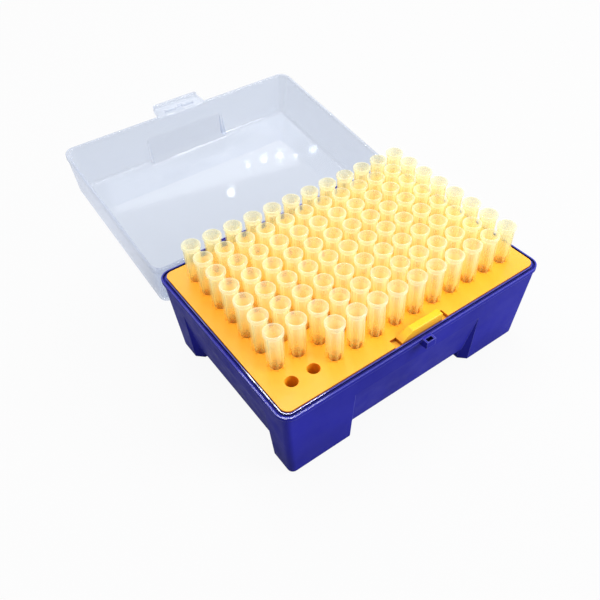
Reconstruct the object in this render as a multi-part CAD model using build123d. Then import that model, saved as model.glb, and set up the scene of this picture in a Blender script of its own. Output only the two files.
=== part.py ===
"""Box of filter pipette tips: a base box, a tip rack, a hinged lid, 94 tips and their filters.

Millimetres, +Z up. The origin is the centre of the base's footprint, on the table.
X runs along the rows of twelve holes, the catch is at -Y and the hinge at +Y.
The lid is drawn shut and then swung open about its hinge, which is how it stands at rest.
"""
import os
from math import cos, radians, sin

from build123d import *

# ---- the grid of holes ----
PITCH = 9.0  # centre to centre, both ways
COLUMNS = 12  # along X
ROWS = 8  # along Y
TAKEN = ((0, 0), (1, 0))  # (column, row) of the holes whose tips have been taken

# ---- the tips ----
TIP_ABOVE = 16.9  # mouth above the rack
TIP_BELOW = 33.4  # point below the rack
POINT_R = 0.40  # outside radius of the point
POINT_BORE_R = 0.20
CONE_R = 2.10  # outside radius of the cone, level with the rack
CONE_TOP = 3.2  # height above the rack at which the cone meets the shoulder
SHOULDER_H = 0.5
HUB_R = 2.72  # tube between the ribs
COLLAR_R = 3.60
COLLAR_H = 2.6  # straight and flared part of the collar
COLLAR_FLARE_H = 1.5
MOUTH_R = 3.10
MOUTH_H = 1.7  # funnel at the mouth
SOCKET_TOP_R = 2.66  # taper socket that a pipette's nozzle is pushed into
SOCKET_BOTTOM_R = 2.24
CONE_WALL = 0.46
RIB_COUNT = 8
RIB_R = 3.22  # the ribs' lower ends stand on the rack around the hole
RIB_W = 0.55
EDGE_R = 0.15  # broken edge of the mouth

# ---- the filters ----
FILTER_TOP = 4.5  # below the rack
FILTER_L = 6.0
FILTER_GAP = 0.03

# ---- the rack ----
RACK_MARGIN_X = 9.15  # outermost hole centres to the rack's edge
RACK_MARGIN_Y = 9.6
RACK_T = 2.2
RACK_CORNER_R = 3.0
RACK_PROUD = 0.8  # rack's top above the base's rim
HOLE_R = 2.37
BOSS_WALL = 1.0
BOSS_DEPTH = 3.8  # tubes around the holes, below the plate
SKIRT_T = 1.2
SKIRT_DEPTH = 4.0
SKIRT_GAP = 0.3
PAD_HALF = 9.5  # finger pad in the middle of the front edge
PAD_H = 3.0
PAD_DEPTH = 3.1
PAD_RAMP = 5.0  # sloped end of the pad
PAD_EDGE_R = 0.4
NOTCH_W = 2.9  # recess at each end of the pad
NOTCH_L = 3.5
NOTCH_DEPTH = 1.6

# ---- the base ----
FOOT_GAP = 3.8  # table to the underside of the floor
FLOOR_T = 1.3
POINT_GAP = 0.5  # tips' points above the floor
WALL = 2.0
WALL_TAPER = 2.3  # how far each wall leans in from the lip to the table
WALL_CORNER_R = 2.4
CAVITY_CORNER_R = 1.2
LIP_H = 1.6
LIP_OVERHANG = 1.0
RIM_CORNER_R = 5.0
RIM_EDGE_T = 0.55  # outer edge of the rim
GROOVE_W = 1.1
GROOVE_DEPTH = 0.9
RIDGE_T = 0.45  # thin inner rim beside the rack
RIDGE_PROUD = 0.15
RACK_GAP = 0.15  # rack to ridge
UPSTAND_INSET = 12.4  # ends of the raised ridge at the back, from the rim's ends
UPSTAND_PROUD = 2.9  # above the rack
FOOT_LENGTH_X = 26.6
FOOT_LENGTH_Y = 10.5
FOOT_SKEW = 0.8  # how much longer the feet are where the panels begin
FOOT_BEVEL = 3.0  # slanted face from each foot's front to its inner side
FOOT_EDGE_R = 1.0
PANEL_DROP = 12.0  # rack's top down to where the sloped panels begin
PANEL_INSET = 2.6
PANEL_CORNER_R = 4.0  # round from the panels to the underside

# ---- the catch on the base ----
CATCH_HALF = 2.1
CATCH_REACH = 2.65
CATCH_FACE_H = 3.2
CATCH_H = 3.6
POCKET_X = 2.8
POCKET_Y = 1.6
POCKET_DEPTH = 1.9
POCKET_WALL = 0.34

# ---- the lid ----
LID_OVER = 0.15  # lid's edge beyond the rim's edge
LID_WALL = 1.0
LID_ROOF_T = 1.2
LID_TAPER = 2.0  # how far the sides and the front lean in from the edge to the roof
LID_REAR_TAPER = 0.7
LID_FLANGE_H = 2.0
LID_FLANGE_STEP = 0.2
LID_CORNER_R = 5.0
LID_ROOF_CORNER_R = 3.6
LID_ROOF_R = 2.2
LID_REST_GAP = 0.15  # shut lid above the rim
ROOF_CLEARANCE = 3.75  # shut lid's roof above the tips
RECESS_HALF = 20.0  # thumb recess in the lid's front wall
RECESS_START = 9.0
RECESS_INSET = 3.7

# ---- the lid's tab ----
TAB_REACH = 7.3
TAB_ROOT_HALF = 12.8
TAB_END_HALF = 11.8
TAB_T = 1.5
TAB_CORNER_R = 1.5
TAB_LIP_T = 1.2
TAB_LIP_H = 1.3
SLOT_NEAR = 1.8
SLOT_FAR = 7.7
SLOT_W = 1.3
SLOT_OUT = 1.6  # lid's edge to the slots
NUB_L = 1.4
NUB_GAP = 0.35

# ---- the hinge ----
OPEN_ANGLE = 171.6
HINGE_OUT = 0.95  # axis behind the lid's rear edge
HINGE_DROP = 0.55  # axis below the lid's edge
HINGE_X = 30.0  # middle of each hinge
PIN_R = 0.90
PIN_GAP = 0.05
HOOK_T = 0.95
HOOK_W = 8.0
HOOK_MOUTH = 70.0  # degrees left open on top, for the pin to snap in
HINGE_SIDE_GAP = 0.4
ARM_W = 2.0
ARM_H = 2.0
HOOK_CLEARANCE = 0.35
LIP_RELIEF = 0.4
STOP_GAP = 0.1
GUSSET_H = 4.6

# ---- worked out from the values above ----
GRID_X = (COLUMNS - 1) * PITCH / 2
GRID_Y = (ROWS - 1) * PITCH / 2
RACK_X = GRID_X + RACK_MARGIN_X
RACK_Y = GRID_Y + RACK_MARGIN_Y
FLOOR_TOP = FOOT_GAP + FLOOR_T
RACK_TOP = FLOOR_TOP + POINT_GAP + TIP_BELOW
LEDGE = RACK_TOP - RACK_T
RIM_TOP = RACK_TOP - RACK_PROUD
LIP_BOTTOM = RIM_TOP - LIP_H
RIM_MARGIN = RACK_GAP + RIDGE_T + GROOVE_W + RIM_EDGE_T
RIM_X = RACK_X + RIM_MARGIN
RIM_Y = RACK_Y + RIM_MARGIN
LID_X = RIM_X + LID_OVER
LID_Y = RIM_Y + LID_OVER
LID_BOTTOM = RIM_TOP + LID_REST_GAP
LID_ROOF = RACK_TOP + TIP_ABOVE + ROOF_CLEARANCE
LID_TOP = LID_ROOF + LID_ROOF_T
AXIS_Y = LID_Y + HINGE_OUT
AXIS_Z = LID_BOTTOM - HINGE_DROP
HINGE_AXIS = Axis((0, AXIS_Y, AXIS_Z), (1, 0, 0))
HOOK_R = PIN_R + PIN_GAP + HOOK_T
BEYOND = 5.0  # how far a cutting block runs past what it cuts


def rounded(half_x, half_y, radius, z):
    return Plane.XY.offset(z) * RectangleRounded(2 * half_x, 2 * half_y, radius)


def block(half_x, half_y, radius, z0, z1):
    """Upright block with a rounded-rectangle outline."""
    return extrude(rounded(half_x, half_y, radius, z0), z1 - z0)


def tapered(low, high, radius, z0, z1):
    """Block whose half sizes go evenly from low at z0 to high at z1."""
    return loft([rounded(*low, radius, z0), rounded(*high, radius, z1)], ruled=True)


def span(x0, x1, y0, y1, z0, z1):
    return Pos((x0 + x1) / 2, (y0 + y1) / 2, (z0 + z1) / 2) * Box(x1 - x0, y1 - y0, z1 - z0)


def prism_x(points, x0, x1):
    """A (y, z) outline carried from x0 to x1."""
    face = Plane.YZ.offset(x0) * make_face(Polyline(*points, close=True))
    return extrude(face, x1 - x0, dir=(1, 0, 0))


def prism_y(points, y0, y1):
    """An (x, z) outline carried from y0 to y1."""
    face = Plane.XZ.offset(-y0) * make_face(Polyline(*points, close=True))
    return extrude(face, y1 - y0, dir=(0, 1, 0))


def rod_x(radius, x0, x1):
    """A rod on the hinge's axis."""
    disc = Plane.YZ.offset(x0) * Pos(AXIS_Y, AXIS_Z) * Circle(radius)
    return extrude(disc, x1 - x0)


def opened(y, z):
    """Where a point of the shut lid's section comes when the lid is open."""
    a = radians(OPEN_ANGLE)
    dy, dz = y - AXIS_Y, z - AXIS_Z
    return AXIS_Y + dy * cos(a) + dz * sin(a), AXIS_Z - dy * sin(a) + dz * cos(a)


def hole_places():
    for column in range(COLUMNS):
        for row in range(ROWS):
            yield column, row, column * PITCH - GRID_X, row * PITCH - GRID_Y


# ---- base ----
def wall_at(z, inset=0.0):
    """Half sizes of the base's outside at height z, less an inset."""
    lean = WALL_TAPER * (1 - z / LIP_BOTTOM) + LIP_OVERHANG + inset
    return RIM_X - lean, RIM_Y - lean


def panel_half(wall_half, panel_half_low, z):
    """Half width between two opposite sloped panels at height z."""
    top = RACK_TOP - PANEL_DROP
    share = (top - z) / (top - FOOT_GAP)
    return wall_half + (panel_half_low - wall_half) * share


def panel_outline(half_top, half_bottom, inset, z_low):
    """Section of the tub between the feet: sloped panels that round into the underside."""
    top = RACK_TOP - PANEL_DROP
    half_low = panel_half(half_top, half_bottom, z_low) - inset
    outline = Polygon(
        (-half_top - BEYOND, top + BEYOND),
        (-half_top + inset, top),
        (-half_low, z_low),
        (half_low, z_low),
        (half_top - inset, top),
        (half_top + BEYOND, top + BEYOND),
        align=None,
    )
    corners = outline.vertices().sort_by(Axis.Y)[:2]
    return fillet(corners, PANEL_CORNER_R - inset)


def gap_plan(half, wall, z):
    """Plan of the gap between two feet, through the whole base, flaring at both ends."""
    edge = [(half, RIM_X + BEYOND), (half, wall), (half - FOOT_BEVEL, wall - FOOT_BEVEL)]
    right = edge + [(x, -y) for x, y in reversed(edge)]
    outline = Polyline(*right, *[(-x, -y) for x, y in right], close=True)
    return Plane.XY.offset(z) * make_face(outline)


def beside_panels(inset, z_low):
    """What lies outside the sloped panels, between the feet: front and back, then the sides."""
    top = RACK_TOP - PANEL_DROP
    wide, deep = wall_at(top)
    low_x, low_y = wall_at(FOOT_GAP, PANEL_INSET)
    foot_x, foot_y = wall_at(0)[0] - FOOT_LENGTH_X + inset, wall_at(0)[1] - FOOT_LENGTH_Y + inset
    spaces = []
    for plane, turn, half_top, half_low, foot, across in (
        (Plane.YZ, 0, deep, low_y, foot_x, 1),
        (Plane.XZ, 90, wide, low_x, foot_y, 0),
    ):
        section = panel_outline(half_top, half_low, inset, z_low)
        tub = extrude(plane * section, RIM_X + BEYOND, both=True)
        plans = [
            gap_plan(foot, wall_at(-BEYOND, inset)[across], -BEYOND),
            gap_plan(foot - FOOT_SKEW, wall_at(top, inset)[across], top),
        ]
        spaces.append(Rot(0, 0, turn) * loft(plans, ruled=True) - tub)
    return spaces


def base_tub():
    """Leaning walls, the floor, and four hollow corner feet under it."""
    outside = tapered(wall_at(0), wall_at(LIP_BOTTOM), WALL_CORNER_R, 0, LIP_BOTTOM)
    for space in beside_panels(0.0, FOOT_GAP):
        outside -= space
    outside = fillet(outside.edges().filter_by_position(Axis.Z, 0, 0), FOOT_EDGE_R)
    cavity = tapered(
        wall_at(FLOOR_TOP, WALL), wall_at(LEDGE, WALL), CAVITY_CORNER_R, FLOOR_TOP, LEDGE
    )
    for filled in beside_panels(WALL, FLOOR_TOP):
        cavity -= filled
    return outside + rim() - cavity - rack_pocket() - foot_hollows()


def rim():
    """Lip around the top: outer edge, groove, and the thin ridge beside the rack."""
    ridge_x, ridge_y = RACK_X + RACK_GAP + RIDGE_T, RACK_Y + RACK_GAP + RIDGE_T
    ridge_r = RACK_CORNER_R + RACK_GAP + RIDGE_T
    lip = block(RIM_X, RIM_Y, RIM_CORNER_R, LIP_BOTTOM, RIM_TOP)
    edge_r = RIM_CORNER_R - RIM_EDGE_T
    trench = block(
        RIM_X - RIM_EDGE_T, RIM_Y - RIM_EDGE_T, edge_r, RIM_TOP - GROOVE_DEPTH, RIM_TOP
    )
    ridge = block(ridge_x, ridge_y, ridge_r, LIP_BOTTOM, RIM_TOP + RIDGE_PROUD)
    half = RIM_X - UPSTAND_INSET
    upstand = span(-half, half, ridge_y - RIDGE_T, ridge_y, LEDGE, RACK_TOP + UPSTAND_PROUD)
    return lip - trench + ridge + upstand


def rack_pocket():
    """Seat for the rack: it stands on the ledge where the walls begin."""
    radius = RACK_CORNER_R + RACK_GAP
    return block(RACK_X + RACK_GAP, RACK_Y + RACK_GAP, radius, LEDGE, RACK_TOP)


def foot_hollows():
    """The feet are hollow from below, up to the floor."""
    out_x, out_y = wall_at(0, WALL)
    in_x = wall_at(0)[0] - FOOT_LENGTH_X + WALL / 2
    in_y = wall_at(0)[1] - FOOT_LENGTH_Y + WALL / 2
    hollows = Part()
    for sx in (-1, 1):
        for sy in (-1, 1):
            x0, x1 = sorted((sx * in_x, sx * out_x))
            y0, y1 = sorted((sy * in_y, sy * out_y))
            hollows += span(x0, x1, y0, y1, -BEYOND, FOOT_GAP)
    return hollows


def catch():
    """Wedge on the front with the pocket that the lid's nub drops into."""
    front = -RIM_Y - CATCH_REACH
    low = RIM_TOP - CATCH_H
    wedge = prism_x(
        [
            (-RIM_Y + RIM_EDGE_T, RIM_TOP),
            (front, RIM_TOP),
            (front, RIM_TOP - CATCH_FACE_H),
            (-wall_at(low)[1], low),
            (-wall_at(low, WALL / 2)[1], low),
            (-wall_at(LIP_BOTTOM, WALL / 2)[1], LIP_BOTTOM),
            (-RIM_Y + RIM_EDGE_T, LIP_BOTTOM),
        ],
        -CATCH_HALF,
        CATCH_HALF,
    )
    pocket_front = front + POCKET_WALL
    return wedge - span(
        -POCKET_X / 2,
        POCKET_X / 2,
        pocket_front,
        pocket_front + POCKET_Y,
        RIM_TOP - POCKET_DEPTH,
        RIM_TOP,
    )


def stop_outline():
    """Section of a hinge bracket: its outer face is where the open lid comes to rest."""
    flange_y, flange_z = opened(LID_Y, LID_BOTTOM + LID_FLANGE_H)
    wall_y, wall_z = opened(*lid_wall_point(LID_FLANGE_H + GUSSET_H))
    step_y, step_z = opened(*lid_wall_point(LID_FLANGE_H))
    lean = (wall_y - step_y) / (step_z - wall_z)
    low = flange_z - GUSSET_H
    root_y = wall_at(LIP_BOTTOM, WALL / 2)[1]
    return [
        (root_y, AXIS_Z - HOOK_R / 2),
        (AXIS_Y, AXIS_Z - HOOK_R / 2),
        (flange_y - STOP_GAP, flange_z),
        (flange_y - STOP_GAP + lean * GUSSET_H, low),
        (wall_at(low, WALL / 2)[1], low - GUSSET_H),
    ]


def lid_wall_point(height):
    """Outside of the shut lid's rear wall, at a height above the lid's edge."""
    lean = LID_REAR_TAPER * height / (LID_TOP - LID_BOTTOM)
    return LID_Y - LID_FLANGE_STEP - lean, LID_BOTTOM + height


def hook(x):
    """One hinge bracket: an open hook around the pin, on a gusset from the rear wall."""
    x0, x1 = x - HOOK_W / 2, x + HOOK_W / 2
    half_mouth = radians(HOOK_MOUTH / 2)
    far = HOOK_R + BEYOND
    mouth = prism_x(
        [
            (AXIS_Y, AXIS_Z),
            (AXIS_Y + far * sin(half_mouth), AXIS_Z + far * cos(half_mouth)),
            (AXIS_Y - far * sin(half_mouth), AXIS_Z + far * cos(half_mouth)),
        ],
        x0,
        x1,
    )
    bridge = span(x0, x1, RIM_Y - RIM_EDGE_T, AXIS_Y, AXIS_Z - HOOK_R / 2, AXIS_Z)
    solid = rod_x(HOOK_R, x0, x1) - mouth + bridge + prism_x(stop_outline(), x0, x1)
    return solid - rod_x(PIN_R + PIN_GAP, x0, x1)


def base_box():
    hinge_half = HOOK_W / 2 + HINGE_SIDE_GAP + ARM_W + HINGE_SIDE_GAP
    box = base_tub() + catch()
    for x in (-HINGE_X, HINGE_X):
        box -= span(
            x - hinge_half, x + hinge_half, RIM_Y - LIP_RELIEF, RIM_Y + BEYOND, LIP_BOTTOM, RIM_TOP
        )
        box += hook(x)
        box -= rod_x(PIN_R + PIN_GAP, x - hinge_half, x + hinge_half)
    return box


# ---- rack ----
def finger_pad():
    """Raised pad in the middle of the rack's front edge, ramped at its left end."""
    outline = [
        (-PAD_HALF, LEDGE + RACK_T / 2),
        (PAD_HALF, LEDGE + RACK_T / 2),
        (PAD_HALF, RACK_TOP + PAD_H),
        (-PAD_HALF + PAD_RAMP, RACK_TOP + PAD_H),
        (-PAD_HALF, RACK_TOP),
    ]
    pad = prism_y(outline, -RACK_Y, -RACK_Y + PAD_DEPTH)
    return fillet(pad.faces().sort_by(Axis.Z)[-1].edges(), PAD_EDGE_R)


def tip_rack():
    """Orange plate with a tube under each hole, a skirt, and the finger pad."""
    rack = block(RACK_X, RACK_Y, RACK_CORNER_R, LEDGE, RACK_TOP)
    skirt_low = LEDGE - SKIRT_DEPTH
    skirt_x, skirt_y = wall_at(skirt_low, WALL + SKIRT_GAP)
    skirt = block(skirt_x, skirt_y, CAVITY_CORNER_R, skirt_low, LEDGE)
    skirt_bore_r = CAVITY_CORNER_R / 2
    skirt -= block(skirt_x - SKIRT_T, skirt_y - SKIRT_T, skirt_bore_r, skirt_low, LEDGE)
    rack += skirt
    for side in (-1, 1):
        x0, x1 = sorted((side * PAD_HALF, side * (PAD_HALF + NOTCH_W)))
        rack -= span(x0, x1, -RACK_Y, -RACK_Y + NOTCH_L, RACK_TOP - NOTCH_DEPTH, RACK_TOP)
    rack += finger_pad()
    boss_low = LEDGE - BOSS_DEPTH
    places = [Pos(x, y, boss_low) for _, _, x, y in hole_places()]
    standing = (Align.CENTER, Align.CENTER, Align.MIN)
    boss = Cylinder(HOLE_R + BOSS_WALL, BOSS_DEPTH, align=standing)
    hole = Cylinder(HOLE_R, BOSS_DEPTH + RACK_T, align=standing)
    rack += [place * boss for place in places]
    return rack - [place * hole for place in places]


# ---- tips and filters ----
def bore_r(z):
    """Inside radius of a tip's cone at height z above the rack."""
    top_r = CONE_R + (CONE_R - POINT_R) / TIP_BELOW * CONE_TOP - CONE_WALL
    return POINT_BORE_R + (top_r - POINT_BORE_R) * (z + TIP_BELOW) / (CONE_TOP + TIP_BELOW)


def turned(points):
    """A solid of revolution about Z from its (radius, z) outline."""
    return revolve(make_face(Plane.XZ * Polyline(*points, close=True)), Axis.Z)


def tip():
    """One ribbed filter tip, its seat on the rack at z = 0."""
    cone_top_r = CONE_R + (CONE_R - POINT_R) / TIP_BELOW * CONE_TOP
    hub_bottom = CONE_TOP + SHOULDER_H
    flare_top = TIP_ABOVE - COLLAR_H + COLLAR_FLARE_H
    outside = turned(
        [
            (0, -TIP_BELOW),
            (POINT_R, -TIP_BELOW),
            (cone_top_r, CONE_TOP),
            (HUB_R, hub_bottom),
            (HUB_R, TIP_ABOVE - COLLAR_H),
            (COLLAR_R, flare_top),
            (COLLAR_R, TIP_ABOVE - EDGE_R),
            (COLLAR_R - EDGE_R, TIP_ABOVE),
            (0, TIP_ABOVE),
        ]
    )
    inside = turned(
        [
            (0, -TIP_BELOW),
            (POINT_BORE_R, -TIP_BELOW),
            (bore_r(CONE_TOP), CONE_TOP),
            (SOCKET_BOTTOM_R, hub_bottom),
            (SOCKET_TOP_R, TIP_ABOVE - MOUTH_H),
            (MOUTH_R, TIP_ABOVE),
            (0, TIP_ABOVE),
        ]
    )
    ribs = []
    for i in range(RIB_COUNT):
        fin = span(0, RIB_R, -RIB_W / 2, RIB_W / 2, 0, flare_top - COLLAR_FLARE_H / 2)
        ribs.append(Rot(0, 0, 360 / RIB_COUNT * (i + 0.5)) * fin)
    return outside + ribs - inside


def tip_filter():
    """Tapered filter plug inside a tip's cone, in the tip's own frame."""
    low = -FILTER_TOP - FILTER_L
    return turned(
        [
            (0, low),
            (bore_r(low) - FILTER_GAP, low),
            (bore_r(-FILTER_TOP) - FILTER_GAP, -FILTER_TOP),
            (0, -FILTER_TOP),
        ]
    )


def in_column(column, piece):
    """Copies of a piece at every filled hole of one column."""
    places = [
        Pos(x, y, RACK_TOP)
        for at, row, x, y in hole_places()
        if at == column and (at, row) not in TAKEN
    ]
    return Compound(children=[place * piece for place in places])


# ---- lid ----
def lid_half(height, inset=0.0):
    """Half sizes of the shut lid's outside at a height above its edge, to the sides and front."""
    lean = LID_FLANGE_STEP + LID_TAPER * height / (LID_TOP - LID_BOTTOM) + inset
    return LID_X - lean, LID_Y - lean


def lid_section(height, inset, radius):
    """Outline of the shut lid at a height above its edge; its rear wall leans less."""
    half_x, front = lid_half(height, inset)
    rear = lid_wall_point(height)[0] - inset
    outline = rounded(half_x, (front + rear) / 2, radius, LID_BOTTOM + height)
    return Pos(0, (rear - front) / 2) * outline


def outside_recess(inset, half):
    """What lies in front of the thumb recess, for the lid's outside or its hollow."""
    start = LID_BOTTOM + RECESS_START
    y_start = lid_half(RECESS_START, inset)[1]
    y_top = lid_half(LID_TOP - LID_BOTTOM, inset)[1] - RECESS_INSET
    far = LID_Y + BEYOND
    return prism_x(
        [(-far, start), (-y_start, start), (-y_top, LID_TOP), (-far, LID_TOP)], -half, half
    )


def lid_shell():
    """Deep lid with leaning walls, a stepped edge and a thumb recess in front."""
    height, depth = LID_TOP - LID_BOTTOM, LID_ROOF - LID_BOTTOM
    low_r, high_r = LID_CORNER_R - LID_FLANGE_STEP, LID_ROOF_CORNER_R
    outside = loft([lid_section(0, 0, low_r), lid_section(height, 0, high_r)], ruled=True)
    outside -= outside_recess(0.0, RECESS_HALF)
    outside = fillet(outside.faces().sort_by(Axis.Z)[-1].edges(), LID_ROOF_R)
    outside += block(LID_X, LID_Y, LID_CORNER_R, LID_BOTTOM, LID_BOTTOM + LID_FLANGE_H)
    low, high = (
        lid_section(0, LID_WALL, low_r - LID_WALL),
        lid_section(depth, LID_WALL, high_r - LID_WALL),
    )
    hollow = loft([low, high], ruled=True)
    hollow -= outside_recess(LID_WALL, RECESS_HALF + LID_WALL)
    hollow = fillet(hollow.faces().sort_by(Axis.Z)[-1].edges(), LID_ROOF_R - LID_WALL)
    return outside - hollow


def tab():
    """Lifting tab in the plane of the lid's edge, with two slots, a lip and the nub."""
    root = -LID_Y + LID_FLANGE_STEP + LID_WALL / 2
    end = -LID_Y - TAB_REACH
    top = LID_BOTTOM + TAB_T
    outline = Polygon(
        (-TAB_ROOT_HALF, root),
        (TAB_ROOT_HALF, root),
        (TAB_END_HALF, end),
        (-TAB_END_HALF, end),
        align=None,
    )
    outline = fillet(outline.vertices().sort_by(Axis.Y)[:2], TAB_CORNER_R)
    up = (0, 0, 1)
    plate = extrude(Plane.XY.offset(LID_BOTTOM) * outline, TAB_T, dir=up)
    lip = extrude(Plane.XY.offset(LID_BOTTOM - TAB_LIP_H) * outline, TAB_LIP_H, dir=up)
    lip &= span(-TAB_ROOT_HALF, TAB_ROOT_HALF, end, end + TAB_LIP_T, LID_BOTTOM - TAB_LIP_H, top)
    solid = plate + lip
    slot_y = -LID_Y - SLOT_OUT
    for side in (-1, 1):
        x0, x1 = sorted((side * SLOT_NEAR, side * SLOT_FAR))
        solid -= span(x0, x1, slot_y - SLOT_W, slot_y, LID_BOTTOM, top)
    pocket_front = -RIM_Y - CATCH_REACH + POCKET_WALL
    nub_x = POCKET_X / 2 - NUB_GAP
    nub = span(
        -nub_x,
        nub_x,
        pocket_front + NUB_GAP,
        pocket_front + POCKET_Y - NUB_GAP,
        LID_BOTTOM - NUB_L,
        LID_BOTTOM,
    )
    return solid + nub


def hinge_arms(x):
    """Hinge pin between two arms on the lid's rear edge."""
    inner = HOOK_W / 2 + HINGE_SIDE_GAP
    arms = rod_x(PIN_R, x - inner - ARM_W, x + inner + ARM_W)
    for side in (-1, 1):
        x0, x1 = sorted((x + side * inner, x + side * (inner + ARM_W)))
        arms += span(x0, x1, AXIS_Y - PIN_R, AXIS_Y + PIN_R, AXIS_Z, AXIS_Z + ARM_H)
        joint_y = LID_Y - LID_FLANGE_STEP - LID_WALL / 2
        arms += span(x0, x1, joint_y, AXIS_Y, LID_BOTTOM, AXIS_Z + ARM_H)
    return arms


def lid():
    """The whole lid, swung open about the hinge."""
    shut = lid_shell() + tab()
    window = HOOK_W / 2 + HINGE_SIDE_GAP
    for x in (-HINGE_X, HINGE_X):
        shut -= rod_x(HOOK_R + HOOK_CLEARANCE, x - window, x + window)
        shut += hinge_arms(x)
    return shut.rotate(HINGE_AXIS, -OPEN_ANGLE)


def main():
    os.makedirs("parts", exist_ok=True)
    pieces = {"base_box": base_box(), "tip_rack": tip_rack(), "lid": lid()}
    one_tip, one_filter = tip(), tip_filter()
    for column in range(COLUMNS):
        pieces[f"tips_column_{column + 1:02d}"] = in_column(column, one_tip)
        pieces[f"filters_column_{column + 1:02d}"] = in_column(column, one_filter)
    for name, shape in pieces.items():
        export_step(shape, f"parts/{name}.step")


main()
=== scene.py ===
"""Looks of the box of filter pipette tips, in metres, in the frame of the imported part."""

import bpy
from mathutils import Matrix, Vector


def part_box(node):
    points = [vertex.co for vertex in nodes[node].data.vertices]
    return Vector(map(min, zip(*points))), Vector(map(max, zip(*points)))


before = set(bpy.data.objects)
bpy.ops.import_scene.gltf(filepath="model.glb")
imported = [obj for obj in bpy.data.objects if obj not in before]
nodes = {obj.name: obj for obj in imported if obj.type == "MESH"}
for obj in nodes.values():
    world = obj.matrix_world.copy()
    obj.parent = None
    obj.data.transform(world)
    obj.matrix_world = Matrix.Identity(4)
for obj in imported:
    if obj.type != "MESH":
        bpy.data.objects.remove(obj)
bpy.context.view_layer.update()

# ---- heights and places that the colours follow ----
TIP_BELOW = 0.0334  # from the rack's top down to the tips' points
RACK_PROUD = 0.0008  # from the base's rim up to the rack's top
RACK_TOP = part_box("tips_column_01")[0].z + TIP_BELOW
TIP_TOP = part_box("tips_column_01")[1].z
RIM_TOP = RACK_TOP - RACK_PROUD
SMOOTH_FROM = (RIM_TOP - 0.00002, RIM_TOP + 0.0001)  # going up, the base turns smooth here
SMOOTH_TO = (RIM_TOP + 0.0003, RIM_TOP + 0.0005)  # and matt again here, above the inner ridge
PAD_RISE = (RACK_TOP + 0.0004, RACK_TOP + 0.0016)  # the raised finger pad gets a painted glow, lighter and yellower, up here
EDGE_FALL = (RACK_TOP - 0.0004, RACK_TOP)  # the painted shade on the rack's edge is darkest at the first and below
SKIRT = (RACK_TOP, RACK_TOP + 0.0035)  # the clearer foot of the tips' ribbed skirt
HOLES_END = (0.054, 0.036)  # in x and y: all the holes are within, the rack's edge is beyond

# ---- where the camera stands: the photograph's viewing angle ----
EYE = Vector((-0.121803, -0.147235, 0.212568))
RIGHT = Vector((0.804880804, -0.593035192, -0.021820914))
DOWN = Vector((-0.433041872, -0.561797912, -0.704881440))
AHEAD = Vector((0.405760556, 0.576794910, -0.708989424))
LENS_MM, SENSOR_MM = 39.9372, 36.0
SHIFT = (-0.01952, 0.00407)  # in frame widths
CLIP = (0.01, 20.0)

# ---- colours, linear ----
BLUE_DEEP = (0.016, 0.017, 0.26, 1)
BLUE_LIGHT = (0.023, 0.024, 0.37, 1)
# painted highlight on the base's sharp edges
BLUE_EDGE_HIGHLIGHT = (0.24, 0.25, 0.65, 1)
# painted shade for the base's grooves and gaps
BLUE_GAP_SHADE = (0.004, 0.004, 0.06, 1)
ORANGE_DEEP = (0.89, 0.37, 0.012, 1)
ORANGE_LIGHT = (0.93, 0.425, 0.020, 1)
# painted glow of the raised finger pad
ORANGE_PAD_GLOW = (0.95, 0.50, 0.006, 1)
# painted shade for the rack's grooves, notches and hidden edge
ORANGE_GAP_SHADE = (0.35, 0.09, 0.004, 1)
LID_TINT = (0.815, 0.848, 0.91, 1)
LID_HAZE = (0.85, 0.88, 0.94, 1)
LID_SHADE = (0.86, 0.87, 0.89, 1)
TIP_TINT = (1.0, 0.973, 0.845, 1)
TIP_MILK = (0.93, 0.965, 0.83, 1)
# painted glow: the orange light of the rack, put into the tips' lower parts
TIP_RACK_GLOW = (0.88, 0.78, 0.26, 1)
TIP_SHADE = (0.84, 0.80, 0.71, 1)
FILTER_WHITE = (0.88, 0.88, 0.86, 1)
FILTER_PORE = (0.70, 0.70, 0.67, 1)
FLOOR_PALE = (0.45, 0.45, 0.46, 1)
SKY_PALE = (0.97, 0.98, 1.0, 1)
WHITE = (1, 1, 1, 1)

# ---- how the plastics take light ----
PLASTIC_IOR = 1.49
NOISE_SPAN = (0.3, 0.7)  # most of a noise texture's values are between these
PORE_SPAN = (0.1, 0.5)  # a pore is darkest to the first and ends at the second
GAP_SPAN = (0.6, 0.2)  # how open a surface is where a gap's painted shade begins to darken it, and at its darkest
GRAIN_DEPTH = 0.0001
SIDE_SHADE = 0.9  # how strong the painted shade is on the rack's edge where it goes down behind the ridge
SKIRT_HAZE = 0.40  # of the tips' haze, at the foot of the skirt
SHEEN = (0.04, 0.5)  # what clear plastic mirrors face on and edge on
SHEEN_RISE = 5.0  # the power of the rise between them


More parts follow.
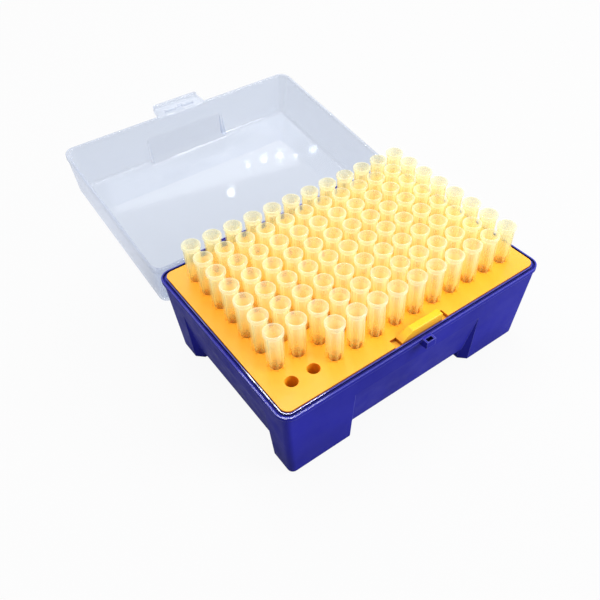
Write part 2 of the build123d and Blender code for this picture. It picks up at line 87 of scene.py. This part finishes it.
# ---- node helpers ----
class Tree:
    """The node tree of a material or a world, with short ways to add to it."""

    def __init__(self, owner, output="ShaderNodeOutputMaterial"):
        owner.use_nodes = True
        self.owner = owner
        self.tree = owner.node_tree
        self.tree.nodes.clear()
        self.out = self.tree.nodes.new(output)

    def add(self, kind, **inputs):
        node = self.tree.nodes.new(kind)
        for socket, value in inputs.items():
            self.put(value, node.inputs[socket.replace("_", " ")])
        return node

    def put(self, value, socket):
        if isinstance(value, bpy.types.NodeSocket):
            self.tree.links.new(value, socket)
        else:
            socket.default_value = value

    def place(self):
        """A point of the surface in the part's own frame, in metres."""
        return self.add("ShaderNodeTexCoord").outputs["Object"]

    def noise(self, scale, detail, twist=0.0):
        node = self.add(
            "ShaderNodeTexNoise",
            Vector=self.place(), Scale=scale, Detail=detail, Distortion=twist,
        )
        return node.outputs["Fac"]

    def vary(self, low, high, **noise):
        """A number that wanders between low and high over the surface."""
        return self.remap(self.noise(**noise), *NOISE_SPAN, low, high)

    def remap(self, value, low, high, to_low, to_high):
        node = self.add("ShaderNodeMapRange")
        for socket, entry in zip(node.inputs[:5], (value, low, high, to_low, to_high)):
            self.put(entry, socket)
        return node.outputs["Result"]

    def height(self, low, high, to_low, to_high):
        """A number that changes between two heights above the table."""
        z = self.add("ShaderNodeSeparateXYZ", Vector=self.place()).outputs["Z"]
        return self.remap(z, low, high, to_low, to_high)

    def outside(self, half_x, half_y):
        """1 outside a rectangle round the middle of the part, 0 inside it."""
        point = self.add("ShaderNodeSeparateXYZ", Vector=self.place()).outputs
        beyond = [
            self.math("GREATER_THAN", self.math("ABSOLUTE", point[axis]), half)
            for axis, half in (("X", half_x), ("Y", half_y))
        ]
        return self.math("MAXIMUM", *beyond)

    def upright(self):
        """1 where the surface is within 30 degrees of upright, 0 where it is flatter."""
        normal = self.add("ShaderNodeNewGeometry").outputs["True Normal"]
        tilt = self.add("ShaderNodeSeparateXYZ", Vector=normal).outputs["Z"]
        return self.math("LESS_THAN", self.math("ABSOLUTE", tilt), 0.5)

    def math(self, operation, a, b=0.0):
        """The outcome of an operation on one or two numbers, held between 0 and 1."""
        node = self.add("ShaderNodeMath")
        node.operation = operation
        node.use_clamp = True
        self.put(a, node.inputs[0])
        self.put(b, node.inputs[1])
        return node.outputs[0]

    def blend(self, share, a, b):
        """Colour a, with the given share of colour b."""
        node = self.add("ShaderNodeMix")
        node.data_type = "RGBA"
        self.put(share, node.inputs[0])
        self.put(a, node.inputs[6])  # the node's colour sockets come after those for numbers
        self.put(b, node.inputs[7])
        return node.outputs[2]

    def bump(self, relief, strength, edge_radius):
        """Fine relief on top of slightly rounded edges."""
        soft = self.add("ShaderNodeBevel", Radius=edge_radius)
        node = self.add(
            "ShaderNodeBump",
            Strength=strength, Distance=GRAIN_DEPTH, Height=relief, Normal=soft.outputs[0],
        )
        return node.outputs["Normal"]

    def edges(self, radius, full):
        """How near a sharp edge the surface is: 0 on a flat, 1 where it turns most."""
        soft = self.add("ShaderNodeBevel", Radius=radius).outputs[0]
        flat = self.add("ShaderNodeNewGeometry").outputs["Normal"]
        turn = self.add("ShaderNodeVectorMath")
        turn.operation = "DOT_PRODUCT"
        self.put(soft, turn.inputs[0])
        self.put(flat, turn.inputs[1])
        return self.remap(turn.outputs["Value"], 1.0, 1.0 - full, 0.0, 1.0)

    def gap(self, reach, own_only):
        """How deep in a gap or groove the surface is: 0 in the open, 1 where it is hemmed in."""
        node = self.add("ShaderNodeAmbientOcclusion", Distance=reach)
        node.only_local = own_only
        return self.remap(node.outputs["AO"], *GAP_SPAN, 0.0, 1.0)

    def mix(self, share, a, b):
        """Shader a, with the given share of shader b."""
        node = self.tree.nodes.new("ShaderNodeMixShader")
        self.put(share, node.inputs[0])
        self.tree.links.new(a, node.inputs[1])
        self.tree.links.new(b, node.inputs[2])
        return node.outputs[0]

    def show(self, shader):
        self.tree.links.new(shader, self.out.inputs["Surface"])
        return self.owner


def material_tree(name):
    return Tree(bpy.data.materials.new(name))


# ---- materials ----
def blue_plastic():
    """Opaque moulded polypropylene: faint flow marks, spark-eroded grain, soft gloss.

    The top of the ridge inside the rim is rubbed smooth, and the rim's own top a little.
    """
    t = material_tree("blue_polypropylene")
    colour = t.blend(t.vary(0, 1, scale=28, detail=3, twist=0.6), BLUE_DEEP, BLUE_LIGHT)
    # painted highlight: sharp edges lightened towards pale blue, where small rounds would catch
    # the light
    colour = t.blend(t.edges(radius=0.00035, full=0.25), colour, BLUE_EDGE_HIGHLIGHT)
    # painted shade: darker blue deep in grooves and gaps, and where other parts hem the surface
    # in
    colour = t.blend(t.gap(reach=0.003, own_only=False), colour, BLUE_GAP_SHADE)
    smooth = t.height(*SMOOTH_FROM, 0.0, 1.0)
    smooth = t.math("MULTIPLY", smooth, t.height(*SMOOTH_TO, 1.0, 0.0))
    skin = t.add(
        "ShaderNodeBsdfPrincipled",
        Base_Color=colour, Roughness=t.vary(0.30, 0.44, scale=160, detail=3),
        IOR=PLASTIC_IOR, Specular_IOR_Level=0.03,
        Coat_Weight=smooth, Coat_Roughness=0.06,
        Normal=t.bump(t.noise(scale=3200, detail=2), strength=0.12, edge_radius=0.0003),
    )
    return t.show(skin.outputs[0])


def orange_plastic():
    """Orange polypropylene that lets a little light in, with a painted glow on the raised finger
    pad.

    Its edge and notches get painted shade where they go down behind the base's ridge.
    """
    t = material_tree("orange_polypropylene")
    colour = t.blend(t.vary(0, 1, scale=22, detail=3, twist=0.8), ORANGE_DEEP, ORANGE_LIGHT)
    # painted glow: the raised finger pad turns lighter and yellower, as if lit through
    colour = t.blend(t.height(*PAD_RISE, 0.0, 1.0), colour, ORANGE_PAD_GLOW)
    # painted shade: darker orange deep in the rack's own grooves and notches
    colour = t.blend(t.gap(reach=0.0015, own_only=True), colour, ORANGE_GAP_SHADE)
    # painted shade on the rack's upright edge, where it goes down behind the base's ridge
    side = t.math("MULTIPLY", t.upright(), t.outside(*HOLES_END))
    side = t.math("MULTIPLY", side, t.height(*EDGE_FALL, SIDE_SHADE, 0.0))
    colour = t.blend(side, colour, ORANGE_GAP_SHADE)
    skin = t.add(
        "ShaderNodeBsdfPrincipled",
        Base_Color=colour, Roughness=t.vary(0.36, 0.50, scale=140, detail=3),
        IOR=PLASTIC_IOR, Subsurface_Weight=0.25,
        Subsurface_Radius=(0.0030, 0.0014, 0.0003), Subsurface_Scale=1.0,
        Normal=t.bump(t.noise(scale=2600, detail=2), strength=0.10, edge_radius=0.00025),
    )
    return t.show(skin.outputs[0])


def clear_plastic(name, tint, shade, milk, haze, rough, grain, flow, edge_radius, cover=None):
    """Thin clear polypropylene: a haze over what is behind it, under a glossy skin.

    tint colours what is seen through it, shade the lamps' light that passes it, and milk what
    the haze scatters. haze is how much of the surface is haze, seen face on and edge on, and
    the power of the rise between them. cover(t), where it is given, scales that. grain and
    flow are the scales of the relief and of the cloudiness. milk is a colour, or a function
    of the tree that returns one.
    """
    t = material_tree(name)
    facing = t.add("ShaderNodeLayerWeight", Blend=0.5).outputs["Facing"]
    face_on, edge_on, rise = haze
    share = t.remap(t.math("POWER", facing, rise), 0.0, 1.0, face_on, edge_on)
    share = t.math("MULTIPLY", share, t.vary(0.85, 1.15, scale=flow, detail=3, twist=0.7))
    share = t.math("MULTIPLY", share, cover(t)) if cover else share
    relief = t.bump(t.noise(scale=grain, detail=2), strength=0.05, edge_radius=edge_radius)
    milk = milk(t) if callable(milk) else milk
    through = t.add("ShaderNodeBsdfTransparent", Color=tint)
    glow = t.add("ShaderNodeBsdfTranslucent", Color=milk, Normal=relief)
    matt = t.add("ShaderNodeBsdfDiffuse", Color=milk, Normal=relief)
    gloss = t.add("ShaderNodeBsdfGlossy", Roughness=rough, Normal=relief)
    sheen = t.remap(t.math("POWER", facing, SHEEN_RISE), 0.0, 1.0, *SHEEN)
    body = t.mix(0.5, matt.outputs[0], glow.outputs[0])
    wall = t.mix(sheen, t.mix(share, through.outputs[0], body), gloss.outputs[0])
    lamplight = t.add("ShaderNodeBsdfTransparent", Color=shade)
    lamp_ray = t.add("ShaderNodeLightPath").outputs["Is Shadow Ray"]
    return t.show(t.mix(lamp_ray, wall, lamplight.outputs[0]))


def tip_milk_and_glow(t):
    """Milky at the mouth, with a painted orange glow towards the rack, for the light it throws up
    into the tips.
    """
    return t.blend(t.height(RACK_TOP, TIP_TOP, 0.0, 1.0), TIP_RACK_GLOW, TIP_MILK)


def tip_cover(t):
    """The foot of the ribbed skirt, just above the rack, is clearer than the rest."""
    return t.height(*SKIRT, SKIRT_HAZE, 1.0)


def tip_plastic():
    return clear_plastic(
        "natural_polypropylene",
        tint=TIP_TINT, shade=TIP_SHADE, milk=tip_milk_and_glow, haze=(0.19, 0.60, 1.0), cover=tip_cover,
        rough=0.15, grain=1500, flow=90, edge_radius=0.0002,
    )


def lid_plastic():
    return clear_plastic(
        "clear_polypropylene",
        tint=LID_TINT, shade=LID_SHADE, milk=LID_HAZE, haze=(0.07, 0.70, 1.7),
        rough=0.05, grain=500, flow=14, edge_radius=0.0010,
    )


def filter_plastic():
    """Sintered white polyethylene, full of fine pores."""
    t = material_tree("porous_polyethylene")
    pores = t.add("ShaderNodeTexVoronoi", Vector=t.place(), Scale=5200.0).outputs["Distance"]
    colour = t.blend(t.remap(pores, *PORE_SPAN, 0.0, 1.0), FILTER_PORE, FILTER_WHITE)
    skin = t.add(
        "ShaderNodeBsdfPrincipled",
        Base_Color=colour, Roughness=0.9, Normal=t.bump(pores, strength=0.4, edge_radius=0.0001),
    )
    return t.show(skin.outputs[0])


def give(start, material):
    """Every CAD node whose name starts like this gets the material."""
    for name, node in nodes.items():
        if name.startswith(start):
            if not node.material_slots:
                node.data.materials.append(material)
            for slot in node.material_slots:
                slot.material = material


give("base_box", blue_plastic())
give("tip_rack", orange_plastic())
give("lid", lid_plastic())
give("tips_column", tip_plastic())
give("filters_column", filter_plastic())


# ---- floor and background ----
MIRRORED_FLOOR, MIRRORED_WORLD = 0.2, 0.8  # shares of the white background that gloss mirrors
FLOOR_SHARE = 0.93  # of white in the floor that the camera sees; the rest holds the shadow
FLOOR_WIDTH, FLOOR_DROP = 8.0, 0.0002
SKY_STRENGTH = 0.24


def sees_white(t, mirrored):
    """1 for rays from the camera or through clear plastic, and the given share for gloss."""
    path = t.add("ShaderNodeLightPath").outputs
    seen = t.math("MAXIMUM", path["Is Camera Ray"], path["Is Transmission Ray"])
    return t.math("MAXIMUM", seen, t.math("MULTIPLY", path["Is Glossy Ray"], mirrored))


def floor_paper():
    """Pale paper that the camera sees as nearly white, with the object's shadow kept."""
    t = material_tree("floor_paper")
    share = t.math("MULTIPLY", sees_white(t, MIRRORED_FLOOR), FLOOR_SHARE)
    matt = t.add("ShaderNodeBsdfDiffuse", Color=FLOOR_PALE)
    white = t.add("ShaderNodeEmission", Color=WHITE, Strength=1.0)
    return t.show(t.mix(share, matt.outputs[0], white.outputs[0]))


def studio_world():
    """Soft light from all round, with a white background."""
    t = Tree(bpy.data.worlds.new("studio"), "ShaderNodeOutputWorld")
    light = t.add("ShaderNodeBackground", Color=SKY_PALE, Strength=SKY_STRENGTH)
    white = t.add("ShaderNodeBackground", Color=WHITE, Strength=1.0)
    share = sees_white(t, MIRRORED_WORLD)
    return t.show(t.mix(share, light.outputs[0], white.outputs[0]))


bpy.ops.mesh.primitive_plane_add(size=FLOOR_WIDTH, location=(0, 0, -FLOOR_DROP))
floor = bpy.context.object
floor.name = "floor"
floor.data.materials.append(floor_paper())
bpy.context.scene.world = studio_world()

# ---- lamps ----
CENTRE = (0, 0.03, 0.03)  # near the object's middle; the three large lamps point at it
ROOF_MIDDLE = (0.02, 0.1, 0.024)  # of the open lid, in which small ceiling lamps are mirrored
BAND, BAND_ALONG = (0.345, 0.672, 0.764), (0.95, -0.27, -0.15)  # a long lamp, and its run
SPOTS = (  # round lamps
    (0.427, 0.647, 0.759), (0.458, 0.638, 0.752), (0.488, 0.627, 0.745),
    (0.516, 0.613, 0.740), (0.548, 0.601, 0.732), (0.373, 0.621, 0.785),
)
SPOT_SIZES = (0.006, 0.008, 0.011, 0.007, 0.015, 0.012)
SPOT_LIGHT = 75.0  # watts for each square metre of a square as wide as the lamp
RIM_CORNER = (-0.059, -0.042, 0.038)  # at the front left, where the ridge mirrors two slim lamps
GLINT_TURN = Vector((0.089, 0.201, 0.448))  # where the two meet
GLINT_ENDS = {"left": Vector((0.080, 0.262, 0.427)), "front": Vector((0.133, 0.200, 0.438))}
GLINT_WIDTH = 0.016
GLINT_LIGHT = 94.0  # watts for each square metre


def lamp(name, place, target, size, power, shape="SQUARE", size_y=None, along=(1, 0, 0)):
    """An area lamp whose long side runs along the given direction."""
    data = bpy.data.lights.new(name, "AREA")
    data.shape, data.size, data.energy = shape, size, power
    if size_y:
        data.size_y = size_y
    back = (Vector(place) - Vector(target)).normalized()
    up = back.cross(Vector(along)).normalized()
    turn = Matrix((up.cross(back), up, back)).transposed()
    obj = bpy.data.objects.new(name, data)
    obj.matrix_world = Matrix.Translation(place) @ turn.to_4x4()
    bpy.context.collection.objects.link(obj)


lamp("key", (0.75, -0.80, 0.75), CENTRE, size=0.7, power=16.0)
lamp("top", (-0.05, 0.15, 1.2), CENTRE, size=1.0, power=12.2)
lamp(
    "window", (0.62, 0.86, 0.62), CENTRE, size=1.5, power=5.0,
    shape="RECTANGLE", size_y=0.5, along=(0.86, -0.62, 0),
)
lamp(
    "band", BAND, ROOF_MIDDLE, size=0.37, power=0.15,
    shape="RECTANGLE", size_y=0.062, along=BAND_ALONG,
)
for i, (place, size) in enumerate(zip(SPOTS, SPOT_SIZES)):
    lamp(f"spot_{i}", place, ROOF_MIDDLE, size, SPOT_LIGHT * size**2, shape="DISK")
for side, end in GLINT_ENDS.items():
    along = end - GLINT_TURN
    length = along.length + GLINT_WIDTH
    lamp(
        f"glint_{side}", GLINT_TURN + along / 2, RIM_CORNER, size=length,
        power=GLINT_LIGHT * length * GLINT_WIDTH,
        shape="RECTANGLE", size_y=GLINT_WIDTH, along=along,
    )

# ---- camera ----
lens = bpy.data.cameras.new("camera")
lens.sensor_width = SENSOR_MM
lens.lens = LENS_MM
lens.shift_x, lens.shift_y = SHIFT
lens.clip_start, lens.clip_end = CLIP
camera = bpy.data.objects.new("camera", lens)
bpy.context.collection.objects.link(camera)
turn = Matrix((RIGHT, -DOWN, -AHEAD)).transposed()
camera.matrix_world = Matrix.Translation(EYE) @ turn.to_4x4()

scene = bpy.context.scene
scene.camera = camera
scene.view_settings.view_transform = "Standard"
scene.cycles.transparent_max_bounces = 96  # a line of sight passes many tips' walls
scene.cycles.max_bounces = 24
scene.cycles.diffuse_bounces = 12
scene.cycles.glossy_bounces = 8
